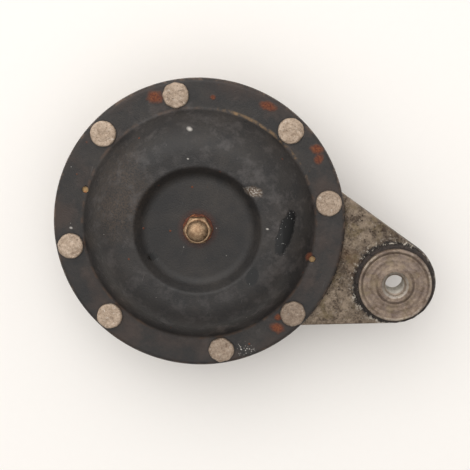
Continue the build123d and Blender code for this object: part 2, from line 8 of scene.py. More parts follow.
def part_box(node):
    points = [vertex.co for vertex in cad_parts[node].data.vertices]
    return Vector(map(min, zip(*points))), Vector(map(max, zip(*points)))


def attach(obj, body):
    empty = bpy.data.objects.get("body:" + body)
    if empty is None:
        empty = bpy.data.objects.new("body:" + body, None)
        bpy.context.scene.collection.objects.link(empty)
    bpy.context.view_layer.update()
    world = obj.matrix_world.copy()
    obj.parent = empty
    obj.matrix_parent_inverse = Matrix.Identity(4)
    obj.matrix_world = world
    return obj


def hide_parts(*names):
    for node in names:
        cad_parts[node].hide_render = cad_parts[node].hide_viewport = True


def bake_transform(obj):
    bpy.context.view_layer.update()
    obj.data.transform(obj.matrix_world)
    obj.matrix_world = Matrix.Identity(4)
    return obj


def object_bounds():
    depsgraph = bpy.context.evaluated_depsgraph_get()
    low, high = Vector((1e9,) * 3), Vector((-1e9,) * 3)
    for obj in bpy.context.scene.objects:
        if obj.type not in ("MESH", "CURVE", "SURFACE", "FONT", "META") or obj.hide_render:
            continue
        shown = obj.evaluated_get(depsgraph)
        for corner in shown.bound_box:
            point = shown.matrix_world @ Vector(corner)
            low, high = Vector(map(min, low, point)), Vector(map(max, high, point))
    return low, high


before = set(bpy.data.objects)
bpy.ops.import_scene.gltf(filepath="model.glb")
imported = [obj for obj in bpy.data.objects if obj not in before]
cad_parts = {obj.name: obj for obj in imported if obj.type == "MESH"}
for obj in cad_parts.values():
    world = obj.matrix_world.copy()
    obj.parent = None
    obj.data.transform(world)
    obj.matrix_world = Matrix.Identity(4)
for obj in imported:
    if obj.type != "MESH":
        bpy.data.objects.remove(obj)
frame_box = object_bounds()
scene = bpy.context.scene

# ---- front plate ----
# One steel pressing: a flat rim with a turned-down lip, a ring bulge and a sunk centre.
# It was dipped in black enamel, which has dulled, chipped at the sunk centre's edge and
# rusted beside some rivets. Two drain holes pierce the bulge's foot.

MM = 0.001
plate_low, plate_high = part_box("front_plate")
plate_thickness = 0.8
axis_gap = 0.02  # a closed end's innermost row stays this far from the axis
disc_radius = plate_high.x / MM
crest_level = plate_high.z / MM
lip_level = plate_low.z / MM
rim_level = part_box("rim_gasket")[1].z / MM + plate_thickness
floor_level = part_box("centre_washer")[0].z / MM
plate_bore = 2.7
recess_floor_radius = 19.0
recess_rim_radius = 22.4
shoulder_radius = 33.0
bulge_foot_radius = 41.3
drain_circle = 42.2
drain_radius = 1.15


def sign(operation, swapped=False):
    """A method that stands for one arithmetic sign and adds one Math node."""
    def method(self, other):
        return self.math(operation, *((other, self) if swapped else (self, other)))
    return method


class Value:
    """One number on a shader's wires. Arithmetic on it adds Math nodes."""

    __add__ = sign("ADD")
    __radd__ = sign("ADD", swapped=True)
    __sub__ = sign("SUBTRACT")
    __rsub__ = sign("SUBTRACT", swapped=True)
    __mul__ = sign("MULTIPLY")
    __truediv__ = sign("DIVIDE")
    __pow__ = sign("POWER")
    most = sign("MAXIMUM")

    def __init__(self, finish, socket):
        self.finish = finish
        self.socket = socket

    def math(self, operation, first, second=0.0):
        return self.finish.node("ShaderNodeMath", {"operation": operation}, {0: first, 1: second})

    def wave(self):
        """The sine of this value."""
        return self.math("SINE", self)

    def ramp(self, none, full):
        """0 at one value and 1 at the other, straight between them and held outside."""
        inputs = {"Value": self, "From Min": none, "From Max": full}
        return self.finish.node("ShaderNodeMapRange", {"clamp": True}, inputs, "Result")


class Finish:
    """A material for one finish, with its patterns in millimetres of the object's frame."""

    def __init__(self, name, slot):
        self.material = bpy.data.materials.new(name)
        self.material.use_nodes = True
        self.slot = slot
        self.tree = self.material.node_tree
        self.shader = self.tree.nodes["Principled BSDF"]
        place = self.node("ShaderNodeTexCoord", output="Object")
        scaled = {"Vector": place, "Scale": 1 / MM}
        self.place = self.node("ShaderNodeVectorMath", {"operation": "SCALE"}, scaled)
        split = {0: self.place}
        self.x, self.y, self.z = [
            self.node("ShaderNodeSeparateXYZ", {}, split, axis) for axis in ("X", "Y", "Z")
        ]

    def node(self, kind, settings=None, inputs=None, output=0):
        """Adds a node: its settings first, then the values or links of its sockets."""
        made = self.tree.nodes.new(kind)
        for key, value in (settings or {}).items():
            setattr(made, key, value)
        for key, value in (inputs or {}).items():
            if isinstance(value, Value):
                self.tree.links.new(value.socket, made.inputs[key])
            else:
                made.inputs[key].default_value = value
        return Value(self, made.outputs[output])

    def noise(self, size, detail=4.0, roughness=0.55, place=None):
        """Cloudy noise whose largest lumps are about size millimetres across."""
        inputs = {"Vector": place or self.place, "Scale": 1 / size, "Detail": detail}
        inputs["Roughness"] = roughness
        return self.node("ShaderNodeTexNoise", {}, inputs, "Fac")

    def cells(self, size, feature="F1"):
        """Distance to the nearest point of a random scatter, size millimetres apart."""
        inputs = {"Vector": self.place, "Scale": 1 / size}
        return self.node("ShaderNodeTexVoronoi", {"feature": feature}, inputs, "Distance")

    def stretched(self, stretch):
        """The place with each axis multiplied, for a pattern drawn out along one of them."""
        inputs = {0: self.place, 1: stretch}
        return self.node("ShaderNodeVectorMath", {"operation": "MULTIPLY"}, inputs)

    def away(self, x=0.0, y=0.0):
        """Distance from an upright line through a point of the XY plane."""
        across = self.x - x
        along = self.y - y
        return (across * across + along * along) ** 0.5

    def patch(self, x, y, width, depth, edge, ragged):
        """1 inside a ragged oval of the XY plane, with a soft edge of the given share."""
        across = (self.x - x) / width
        along = (self.y - y) / depth
        reach = (across * across + along * along) ** 0.5 + ragged
        return reach.ramp(1 + edge, 1 - edge)

    def mix(self, factor, first, second):
        """The first colour where the factor is 0, the second where it is 1."""
        inputs = {0: factor, 6: self.colour(first), 7: self.colour(second)}
        return self.node("ShaderNodeMix", {"data_type": "RGBA"}, inputs, 2)

    def colour(self, value):
        return value if isinstance(value, Value) else (*value, 1.0)

    def paint(self, cover, colour):
        """Lays a colour over the finish's tone so far, where the cover is 1."""
        self.tone = self.mix(cover, self.tone, colour)

    def bump(self, height, depth):
        """A bump whose height of 1 stands for depth millimetres."""
        inputs = {"Height": height, "Distance": depth * MM, "Strength": 1.0}
        return self.node("ShaderNodeBump", {}, inputs, "Normal")

    def surface(self, **inputs):
        """Links the tone, and sets or links the shader's other sockets, such as Roughness."""
        for key, value in {"Base_Color": self.tone, **inputs}.items():
            socket = self.shader.inputs[key.replace("_", " ")]
            if isinstance(value, Value):
                self.tree.links.new(value.socket, socket)
            else:
                socket.default_value = value
        return self


def rounded(corners, radii, spacing):
    """A line through corners, each inner one cut off by an arc of its radius that touches
    both straight runs, then points at equal spacing along its length."""
    corners = np.array(corners, float)
    line = [corners[0]]
    for before, corner, after, radius in zip(corners, corners[1:], corners[2:], radii):
        to_before = (before - corner) / np.linalg.norm(before - corner)
        to_after = (after - corner) / np.linalg.norm(after - corner)
        half = np.arccos(np.clip(to_before @ to_after, -1, 1)) / 2
        middle = to_before + to_after
        centre = corner + middle / np.linalg.norm(middle) * radius / np.sin(half)
        start = corner + to_before * radius / np.tan(half) - centre
        end = corner + to_after * radius / np.tan(half) - centre
        share = np.linspace(0, 1, 25)[:, None]
        turn = np.pi - 2 * half
        arc = (np.sin((1 - share) * turn) * start + np.sin(share * turn) * end) / np.sin(turn)
        line.extend(centre + arc)
    line.append(corners[-1])
    line = np.array(line)
    run = np.concatenate([[0], np.cumsum(np.linalg.norm(np.diff(line, axis=0), axis=1))])
    even = np.linspace(0, run[-1], max(2, round(run[-1] / spacing) + 1))
    return np.stack([np.interp(even, run, line[:, 0]), np.interp(even, run, line[:, 1])], axis=1)


def new_piece(name, points, faces, crease=40):
    """A smooth-shaded mesh object at the origin from points in millimetres."""
    mesh = bpy.data.meshes.new(name)
    mesh.from_pydata(np.asarray(points) * MM, [], faces)
    mesh.polygons.foreach_set("use_smooth", np.ones(len(mesh.polygons), bool))
    mesh.set_sharp_from_angle(angle=math.radians(crease))
    piece = bpy.data.objects.new(name, mesh)
    scene.collection.objects.link(piece)
    return piece


def turned_points(radius, level, centre=(0, 0)):
    """Points of a profile turned about an upright line: row i, column j lies at
    radius[i, j] from the line, at the j-th equal angle, and at level[i, j]."""
    radius, level = np.broadcast_arrays(radius, level)
    angle = np.arange(radius.shape[1]) * 2 * np.pi / radius.shape[1]
    x = centre[0] + radius * np.cos(angle)
    y = centre[1] + radius * np.sin(angle)
    return np.stack([x, y, level], axis=2)


def turned_faces(rows, columns, ring, first=0):
    """Quads between neighbouring rows and columns, columns joined round. A ring joins the
    last row to the first; otherwise each end row is closed by one face."""
    row = np.arange(rows if ring else rows - 1)[:, None]
    column = np.arange(columns)[None, :]
    beside = (column + 1) % columns
    above = (row + 1) % rows
    corners = [
        row * columns + column,
        row * columns + beside,
        above * columns + beside,
        above * columns + column,
    ]
    faces = (np.stack(corners, axis=2).reshape(-1, 4) + first).tolist()
    if not ring:
        faces.append([first + i for i in range(columns)][::-1])
        faces.append([first + (rows - 1) * columns + i for i in range(columns)])
    return faces


def turned(radius, level, centre=(0, 0), ring=True):
    """The points and faces of one turned profile."""
    points = turned_points(radius, level, centre)
    return points.reshape(-1, 3), turned_faces(*points.shape[:2], ring)


def flipped(faces):
    """The same faces seen from their other side."""
    return [face[::-1] for face in faces]


def wobble(angle, seed, lowest, highest):
    """A smooth random wave round a circle, mostly within 1 either way: sines of every
    whole number of turns from lowest to highest, with seeded phases and heights."""
    rng = np.random.default_rng(seed)
    total = np.zeros_like(angle)
    for turns in range(lowest, highest + 1):
        total = total + rng.normal() * np.sin(turns * angle + rng.uniform(0, 2 * np.pi))
    return np.clip(total / np.sqrt(highest - lowest + 1), -1.5, 1.5)


def angles(columns):
    """One row of equal angles round a circle."""
    return (np.arange(columns) * 2 * np.pi / columns)[None, :]


def dress_nodes(finish, *names):
    """Gives a finish to CAD nodes that are shown in their own shape."""
    for name in names:
        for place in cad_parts[name].material_slots:
            place.material = finish.material


def dress(piece, finish, body):
    """Gives a new piece its finish, its slot and, unless it is blended, its body."""
    piece.data.materials.append(finish.material)
    if body:
        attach(piece, body)


def plate_mesh():
    """The pressing's front face and the same line 0.8 mm behind it, turned about Z. The
    front face is lowered by a few hundredths in slow waves, as a pressing never is true."""
    corners = [
        (plate_bore, floor_level),
        (recess_floor_radius, floor_level),
        (recess_rim_radius, crest_level),
        (shoulder_radius, crest_level),
        (bulge_foot_radius, rim_level),
        (disc_radius, rim_level),
        (disc_radius, lip_level),
    ]
    front = rounded(corners, [4.0, 1.5, 12.0, 1.6, 1.4], 0.32)
    run = np.gradient(front, axis=0)
    inward = np.stack([run[:, 1], -run[:, 0]], axis=1)
    inward /= np.linalg.norm(inward, axis=1)[:, None]
    back = (front + inward * plate_thickness)[::-4]
    columns = 300
    turn = angles(columns)
    radius = front[:, :1]
    raised = np.clip((radius - 8) / 6, 0, 1) * np.clip((disc_radius - 1.5 - radius) / 3, 0, 1)
    dents = 0.05 * wobble(turn, 1, 2, 6) * np.sin(radius / 5)
    dents = dents + 0.04 * wobble(turn, 2, 3, 9) * np.cos(radius / 3)
    front_level = front[:, 1:] - raised * np.abs(dents + 0.03)
    level = np.concatenate([front_level, np.repeat(back[:, 1:], columns, 1)])
    points, faces = turned(np.concatenate([front, back])[:, :1], level)
    return points, flipped(faces)


def cut_holes(piece, places, radius, bottom, top):
    """Cuts upright round holes through a piece, and puts the result in its mesh."""
    points = []
    faces = []
    for x, y in places:
        level = np.array([[bottom], [top]])
        faces += turned_faces(2, 40, ring=False, first=len(points))
        points += turned_points(np.full((2, 40), radius), level, (x, y)).reshape(-1, 3).tolist()
    cutter = new_piece("drill", points, faces)
    cut = piece.modifiers.new("holes", "BOOLEAN")
    cut.operation = "DIFFERENCE"
    cut.solver = "EXACT"
    cut.object = cutter
    bpy.context.view_layer.update()
    whole = piece.evaluated_get(bpy.context.evaluated_depsgraph_get())
    drilled = bpy.data.meshes.new_from_object(whole)
    piece.modifiers.clear()
    piece.data = drilled
    bpy.data.objects.remove(cutter)


def enamel_finish():
    """Dull black enamel with dust in its grain, chips, rust by some rivets and oil, with painted sheen and a
    painted highlight on the bulge and painted glints on the oil.
    """
    enamel = Finish("worn_black_enamel", "black_enamel")
    cloud = enamel.noise(9, 6, 0.62)
    fine = enamel.noise(0.55, 5, 0.7)
    ragged = enamel.noise(2.2, 5, 0.65) * 1.5 - 0.75
    from_axis = enamel.away()
    black = (0.013, 0.012, 0.012)
    dusty = (0.046, 0.038, 0.032)
    brown = (0.085, 0.055, 0.034)
    rust = (0.215, 0.07, 0.026)
    dark_rust = (0.085, 0.022, 0.014)
    bare = (0.42, 0.38, 0.34)
    white = (0.62, 0.58, 0.53)
    enamel.tone = enamel.mix((cloud * 0.55 + fine * 0.45).ramp(0.4, 0.64) * 0.75, black, dusty)
    # painted highlight: a lighter brown patch on the left of the bulge stands in for the sheen of light there
    painted_highlight_patch = enamel.patch(-29, 3, 8, 13, 0.45, ragged) * fine.ramp(0.4, 0.62) * 0.6
    enamel.paint(painted_highlight_patch, brown)
    # painted sheen: lighter grey mottling over the bulge stands in for its reflection, and the same mask
    # makes the enamel glossier there
    gloss_and_painted_sheen = enamel.noise(5.5, 6, 0.7).ramp(0.5, 0.66) * from_axis.ramp(20, 24) * from_axis.ramp(52, 38)
    enamel.paint(gloss_and_painted_sheen * 0.55, (0.085, 0.074, 0.07))
    darker = enamel.noise(22, 2).ramp(0.44, 0.6)
    enamel.paint(darker * 0.45, black)
    past_foot = from_axis - bulge_foot_radius - 0.4
    foot = past_foot.math("ABSOLUTE", past_foot).ramp(0.75, 0.15)
    foot_dirt = foot * enamel.noise(4, 4).ramp(0.44, 0.62)
    golden = foot_dirt * enamel.y.ramp(26, 33) * enamel.x.ramp(-8, -2)
    enamel.paint(foot_dirt * 0.6, (0.075, 0.04, 0.022))
    enamel.paint(golden * 0.8, (0.24, 0.145, 0.06))
    warm_rim = from_axis.ramp(40, 44) * enamel.noise(11, 4).ramp(0.46, 0.64)
    enamel.paint(warm_rim * 0.45, (0.06, 0.036, 0.026))
    ring_stain = from_axis.ramp(7.6, 5.6) * (ragged + 0.9).ramp(0.45, 1.0)
    enamel.paint(ring_stain * 0.8, (0.055, 0.02, 0.014))
    rusted = enamel.patch(-27.9, 38.8, 2.6, 2.0, 0.35, ragged)
    for x, y, width, depth in (
        (31.8, 38.2, 2.2, 1.4),
        (33.5, 35.1, 1.3, 1.7),
        (-8.5, 44.9, 0.9, 0.8),
        (37.0, -23.9, 1.2, 1.1),
        (37.9, -27.9, 2.2, 1.6),
        (10.8, 47.6, 2.6, 1.3),
        (40.6, 0.9, 1.1, 1.4),
    ):
        rusted = rusted.most(enamel.patch(x, y, width, depth, 0.4, ragged))
    specks_of_rust = enamel.cells(5.5).ramp(0.085, 0.05) * enamel.noise(14, 3).ramp(0.52, 0.6)
    rusted = rusted.most(specks_of_rust)
    rust_tone = enamel.mix(fine.ramp(0.38, 0.62), dark_rust, rust)
    enamel.paint(rusted, rust_tone)
    at_rim = from_axis.ramp(disc_radius - 1.1, disc_radius - 0.2)
    rim_wear = at_rim * enamel.noise(3.2, 5, 0.7).ramp(0.5, 0.6)
    enamel.paint(rim_wear * 0.8, (0.13, 0.085, 0.06))
    chipped = enamel.patch(14.4, 19.0, 3.0, 1.5, 0.3, ragged)
    worn_spot = enamel.patch(29.2, -38.9, 2.8, 2.0, 0.5, ragged) * enamel.cells(0.9).ramp(0.3, 0.18)
    enamel.paint(chipped, enamel.mix(fine.ramp(0.45, 0.6), brown, bare))
    flecks = (enamel.cells(7.0).ramp(0.03, 0.016) * 0.7).most(worn_spot)
    for x, y, size in ((-12.9, 32.8, 0.75), (-10.4, 23.2, 0.35), (23.0, 7.9, 0.4), (-43.3, -14.8, 0.5)):
        flecks = flecks.most(enamel.patch(x, y, size, size * 0.7, 0.6, ragged * 0.8))
    enamel.paint(flecks * 0.7, white)
    oily = enamel.patch(29.5, 8.2, 2.7, 8.4, 0.12, ragged * 0.45)
    oily = oily.most(enamel.patch(23.2, -9.9, 2.1, 3.4, 0.2, ragged * 0.4))
    oily = oily.most(enamel.patch(-12.1, -14.2, 1.8, 1.2, 0.3, ragged * 0.5))
    enamel.paint(oily, (0.003, 0.003, 0.003))
    # painted highlights: pale grey flecks on the oil smear stand in for glints of light on it
    painted_oil_glints = oily * enamel.cells(0.9).ramp(0.16, 0.1) * enamel.noise(2.5, 3).ramp(0.5, 0.58)
    enamel.paint(painted_oil_glints, (0.42, 0.41, 0.39))
    scratch = enamel.noise(0.8, 2, 0.5, enamel.stretched((1.0, 0.045, 1.0))).ramp(0.72, 0.78)
    scratch = scratch * (1 - oily)
    enamel.paint(scratch * 0.35, (0.15, 0.14, 0.13))
    pits = enamel.cells(0.75).ramp(0.5, 0.1) * 0.4
    height = fine * 0.6 + cloud * 0.4 - pits * 0.5 + rusted * fine * 1.4 - chipped * 0.8
    height = height * (1 - oily * 0.9)
    return enamel.surface(
        Specular_IOR_Level=0.42,
        Roughness=(0.4 + fine * 0.18 + cloud * 0.1 - gloss_and_painted_sheen * 0.12 + rusted * 0.3) * (1 - oily * 0.85),
        Metallic=chipped * 0.6,
        Normal=enamel.bump(height, 0.16),
    )


enamel = enamel_finish()
plate = new_piece("pressed_front_plate", *plate_mesh())
cut_holes(plate, [(drain_circle, 0), (-drain_circle, 0)], drain_radius, rim_level - 3, rim_level + 4)
dress(plate, enamel, "")
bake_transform(plate)
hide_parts("front_plate")

# ---- gaskets ----
# An oiled paper ring lies under the plate's rim, and shows as rusty yellow-brown in the
# drain holes. A ring of pressed cork seals the back cover.


def paper_finish():
    """Oiled paper: fibres, dark oil blots and rust carried in by water."""
    paper = Finish("oiled_paper", "varnished_paper")
    fibre = paper.noise(0.5, 5, 0.7)
    blots = paper.noise(6, 4).ramp(0.45, 0.62)
    rust = paper.noise(2.4, 4).ramp(0.52, 0.62)
    paper.tone = paper.mix(blots, (0.36, 0.22, 0.09), (0.2, 0.12, 0.05))
    paper.paint(rust * 0.8, (0.42, 0.14, 0.04))
    paper.paint(fibre.ramp(0.4, 0.7) * 0.4, (0.48, 0.34, 0.18))
    return paper.surface(
        Roughness=0.55 + fibre * 0.3,
        Normal=paper.bump(fibre, 0.08),
    )


def cork_finish():
    """Pressed cork: pale grains with dark seams between them."""
    cork = Finish("pressed_cork", "cork")
    grain = cork.cells(1.3)
    seam = cork.cells(1.3, "DISTANCE_TO_EDGE").ramp(0.1, 0.02)
    cork.tone = cork.mix(grain.ramp(0.1, 0.8), (0.46, 0.31, 0.18), (0.3, 0.18, 0.09))
    cork.paint(seam, (0.12, 0.07, 0.04))
    return cork.surface(
        Roughness=0.75 + cork.noise(0.4) * 0.2,
        Normal=cork.bump(grain - seam, 0.12),
    )


dress_nodes(paper_finish(), "rim_gasket")
dress_nodes(cork_finish(), "cover_gasket")

# ---- rim rivets ----
# Eight aluminium rivets, in pairs about the diagonals, clamp the plate's rim to the cast
# flange. Their flat heads were formed by a worn punch and have since pitted.

rivet_low, rivet_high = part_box("rim_rivets")
rivet_circle = (bulge_foot_radius + disc_radius) / 2
rivet_half_step = 18.15
rivet_head_radius = 4.7
rivet_shank_radius = 2.5
rivet_tail_radius = 4.0
rivet_bottom = rivet_low.z / MM
rivet_top = rivet_high.z / MM
flange_under = rivet_bottom + 1.5
tail_edge = 0.5
# pitting, raggedness and tone of each head, anticlockwise from the lug
rivet_wear = ((0.3, 0.4, 1.0), (0.5, 0.5, 1.08), (1.0, 0.8, 1.02), (0.6, 0.5, 1.12),
              (0.7, 0.6, 1.12), (0.6, 0.6, 1.14), (1.0, 1.3, 0.92), (0.8, 0.9, 0.8))


def rivet_mesh():
    """Each rivet is a profile turned about its own axis: head with a rounded edge, shank
    through the rim, set tail. The head's radius shrinks by a ragged wave, and its top is
    lowered by waves that cross, deeper on the pitted ones. Also returns each point's tone."""
    columns = 72
    turn = angles(columns)
    outline = [(axis_gap, rivet_top), (rivet_head_radius, rivet_top), (rivet_head_radius, rim_level)]
    head = rounded(outline, [0.75], 0.16)
    shaft = [
        (rivet_shank_radius, rim_level), (rivet_shank_radius, flange_under),
        (rivet_tail_radius, flange_under), (rivet_tail_radius, rivet_bottom + tail_edge),
        (rivet_tail_radius - tail_edge, rivet_bottom), (axis_gap, rivet_bottom),
    ]
    profile = np.concatenate([head, shaft])
    points, faces, tones = [], [], []
    for index in range(8):
        pitted, ragged, tone = rivet_wear[index]
        direction = math.radians(45 + 90 * (index // 2) + (-1, 1)[index % 2] * rivet_half_step)
        centre = (rivet_circle * math.cos(direction), rivet_circle * math.sin(direction))
        on_head = np.arange(len(profile))[:, None] < len(head)
        share = profile[:, :1] / rivet_head_radius
        shrink = 0.012 + 0.022 * ragged * (1 + wobble(turn, 20 + index, 2, 9))
        radius = profile[:, :1] * (1 - on_head * np.abs(shrink) * share**2)
        across = radius * np.cos(turn)
        along = radius * np.sin(turn)
        rng = np.random.default_rng(40 + index)
        dip = np.zeros_like(across)
        for _ in range(14):
            way = rng.uniform(0, 2 * np.pi)
            step = rng.uniform(0.9, 3.6)
            dip += np.sin(step * (across * np.cos(way) + along * np.sin(way)) + rng.uniform(0, 6))
        dip = np.clip(dip / 3, -1, 1.3)
        on_top = on_head * np.clip((profile[:, 1:] - rim_level) / (rivet_top - rim_level), 0, 1)
        crown = 0.12 * share**2
        level = profile[:, 1:] - on_top * (crown + (0.03 + 0.09 * pitted) * np.clip(dip, 0, 2))
        shape = turned_points(radius, level, centre)
        faces += flipped(turned_faces(*shape.shape[:2], ring=False, first=len(points)))
        points += shape.reshape(-1, 3).tolist()
        tones += [tone] * shape.shape[0] * columns
    return points, faces, tones


def rivet_finish():
    """Matte aluminium, brown with dirt in its pits, with painted shade darkening the sides of each head so
    that its top stands brighter.
    """
    metal = Finish("pitted_rivet_aluminium", "rivet_aluminium")
    shade = metal.node("ShaderNodeAttribute", {"attribute_name": "tone"}, {}, "Fac")
    cloud = metal.noise(2.6, 5, 0.65)
    fine = metal.noise(0.3, 4, 0.7)
    mottle = metal.noise(0.9, 6, 0.75)
    pits = metal.cells(0.7).ramp(0.36, 0.1) * metal.noise(1.5, 4, 0.7).ramp(0.48, 0.6)
    clean = (0.6, 0.47, 0.36)
    dirty = (0.27, 0.19, 0.13)
    metal.tone = metal.mix((cloud * 0.35 + mottle * 0.45 + fine * 0.2).ramp(0.4, 0.58), dirty, clean)
    metal.paint(pits * 0.55, (0.12, 0.08, 0.055))
    white = metal.noise(1.1, 5, 0.7).ramp(0.58, 0.68)
    metal.paint(white * 0.6, (0.78, 0.71, 0.62))
    # painted shade: each head is darkened from just below its top down its rounded edge and side
    side = metal.z.ramp(rivet_top - 0.5, rim_level + 0.05)
    metal.paint(side * 0.75, (0.055, 0.038, 0.028))
    metal.paint((1.16 - shade).ramp(0.0, 0.8), (0.06, 0.04, 0.03))
    return metal.surface(
        Roughness=0.42 + fine * 0.25 + pits * 0.2,
        Metallic=0.4 - pits * 0.3,
        Normal=metal.bump(fine * 0.4 + mottle * 0.8 + cloud * 0.5 - pits * 0.6, 0.26),
    )


rivet_points, rivet_faces, rivet_tones = rivet_mesh()
rivets = new_piece("rim_rivet_set", rivet_points, rivet_faces)
rivets.data.attributes.new("tone", "FLOAT", "POINT").data.foreach_set("value", rivet_tones)
dress(rivets, rivet_finish(), "root")
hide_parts("rim_rivets")

# ---- centre fastening ----
# A brass dome nut on the rod's thread holds plate and armature together. The plain steel
# washer under it has rusted, and its rust has run into the enamel.

nut_low, nut_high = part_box("centre_nut")
nut_under = nut_low.z / MM
hex_top = nut_under + 3.2
dome_top = nut_high.z / MM
dome_radius = 3.8
nut_flat = 4.5
nut_turn = math.radians(47)
nut_edge = 0.12
nut_corner = nut_flat / math.cos(math.pi / 6) - nut_edge
nut_chamfer_height = 0.75
nut_chamfer_slope = 1.05
nut_bore = 2.55
nut_bore_end = hex_top - 0.4
dome_wall = 0.35
washer_low, washer_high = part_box("centre_washer")
washer_radius = washer_high.x / MM
washer_bore = 2.6
washer_flat_radius = 4.9
washer_edge = 0.25


def nut_mesh():
    """Rows round the axis. Up the hexagon a point's radius is the flat's distance over the
    cosine of its angle from the flat's middle, limited by a cone near the top. Over it an
    upright wall and a quarter ellipse make the dome."""
    columns = 144
    turn = angles(columns)
    from_flat = (turn - nut_turn + np.pi / 6) % (np.pi / 3) - np.pi / 6
    hexagon = np.minimum(nut_flat / np.cos(from_flat), nut_corner)
    rows = [(axis_gap, nut_bore_end), (nut_bore, nut_bore_end), (nut_bore, nut_under)]
    radius = [np.full_like(turn, r) for r, _ in rows]
    level = [np.full_like(turn, z) for _, z in rows]
    for height in np.concatenate([[nut_under], np.linspace(nut_under + nut_edge, hex_top, 22)]):
        drop = max(0.0, height - (hex_top - nut_chamfer_height))
        limit = nut_corner - nut_chamfer_slope * drop
        foot = nut_edge if height == nut_under else 0.0
        radius.append(np.minimum(hexagon, limit) - foot)
        level.append(np.full_like(turn, height))
    skirt = radius[-1]
    for share in (0.5, 1.0):
        radius.append(skirt + (dome_radius + 0.05 - skirt) * share)
        level.append(np.full_like(turn, hex_top + 0.04 * share))
    for rise in np.linspace(0, np.pi / 2, 30)[:-1]:
        dent = 0.02 * wobble(turn, 60, 2, 5) * np.sin(rise * 2)
        radius.append(dome_radius * np.cos(rise) ** 0.85 - np.abs(dent))
        height = hex_top + dome_wall + (dome_top - hex_top - dome_wall) * np.sin(rise)
        level.append(height - np.abs(dent))
    radius.append(np.full_like(turn, axis_gap))
    level.append(np.full_like(turn, dome_top))
    return turned(np.concatenate(radius), np.concatenate(level), ring=False)


def washer_mesh():
    """A closed square profile with softened corners, its outside waved by rust scale."""
    columns = 120
    turn = angles(columns)
    low, high = washer_low.z / MM, washer_high.z / MM
    profile = np.array([
        (washer_bore, low), (washer_radius, low), (washer_radius, low + 0.3),
        (washer_radius, high - washer_edge), (washer_radius - washer_edge, high),
        (washer_flat_radius, high), (washer_bore, high),
    ])
    outer = profile[:, :1] > washer_bore
    scale = 0.1 + 0.09 * wobble(turn, 70, 3, 14)
    radius = profile[:, :1] - outer * np.abs(scale)
    on_top = profile[:, 1:] > low + 0.5
    level = profile[:, 1:] - outer * on_top * 0.06 * np.abs(wobble(turn, 71, 4, 16))
    return turned(radius, level)


def brass_finish(name, clean, tarnish, stain):
    """Aged brass: bright where rubbed, brown tarnish in clouds, dark dirt low down."""
    brass = Finish(name, "brass")
    cloud = brass.noise(1.7, 5, 0.65)
    fine = brass.noise(0.22, 4, 0.7)
    scratch = brass.noise(0.5, 3, 0.6, brass.stretched((0.3, 2.0, 1.4))).ramp(0.6, 0.7)
    brass.tone = brass.mix((cloud * 0.7 + fine * 0.3).ramp(0.38, 0.6), tarnish, clean)
    brass.paint(brass.cells(1.1).ramp(0.2, 0.08) * 0.8, stain)
    brass.paint(scratch * 0.3, (0.8, 0.66, 0.42))
    return brass.surface(
        Roughness=0.3 + fine * 0.28 + (1 - cloud) * 0.12,
        Metallic=0.88,
        Normal=brass.bump(fine * 0.6 + cloud * 0.5 + scratch * 0.2, 0.09),
    )


def rust_finish():
    """Steel under a full coat of layered rust with a few orange blooms."""
    rust = Finish("rusted_washer_steel", "rusty_steel")
    crust = rust.noise(1.0, 6, 0.75)
    bloom = rust.noise(2.6, 4).ramp(0.5, 0.6)
    rust.tone = rust.mix(crust.ramp(0.35, 0.65), (0.055, 0.02, 0.015), (0.19, 0.06, 0.03))
    rust.paint(bloom * crust.ramp(0.45, 0.6), (0.36, 0.13, 0.045))
    return rust.surface(
        Roughness=0.72 + crust * 0.2,
        Metallic=0.15,
        Normal=rust.bump(crust + rust.cells(0.5) * 0.5, 0.2),
    )


nut_brass = brass_finish("aged_nut_brass", (0.5, 0.345, 0.215), (0.2, 0.115, 0.065), (0.07, 0.04, 0.025))
rust = rust_finish()
nut = new_piece("dome_nut", *nut_mesh())
dress(nut, nut_brass, "armature_group")
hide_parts("centre_nut")
washer = new_piece("rusted_washer", *washer_mesh())
dress(washer, rust, "armature_group")
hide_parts("centre_washer")

# ---- cast body ----
# One aluminium casting: bowl, rim flange, mounting lug and rib. The sand left a grainy
# skin, which has weathered to a grey-brown with dark dirt in the pits and white bloom.

bush_flange = 2.0


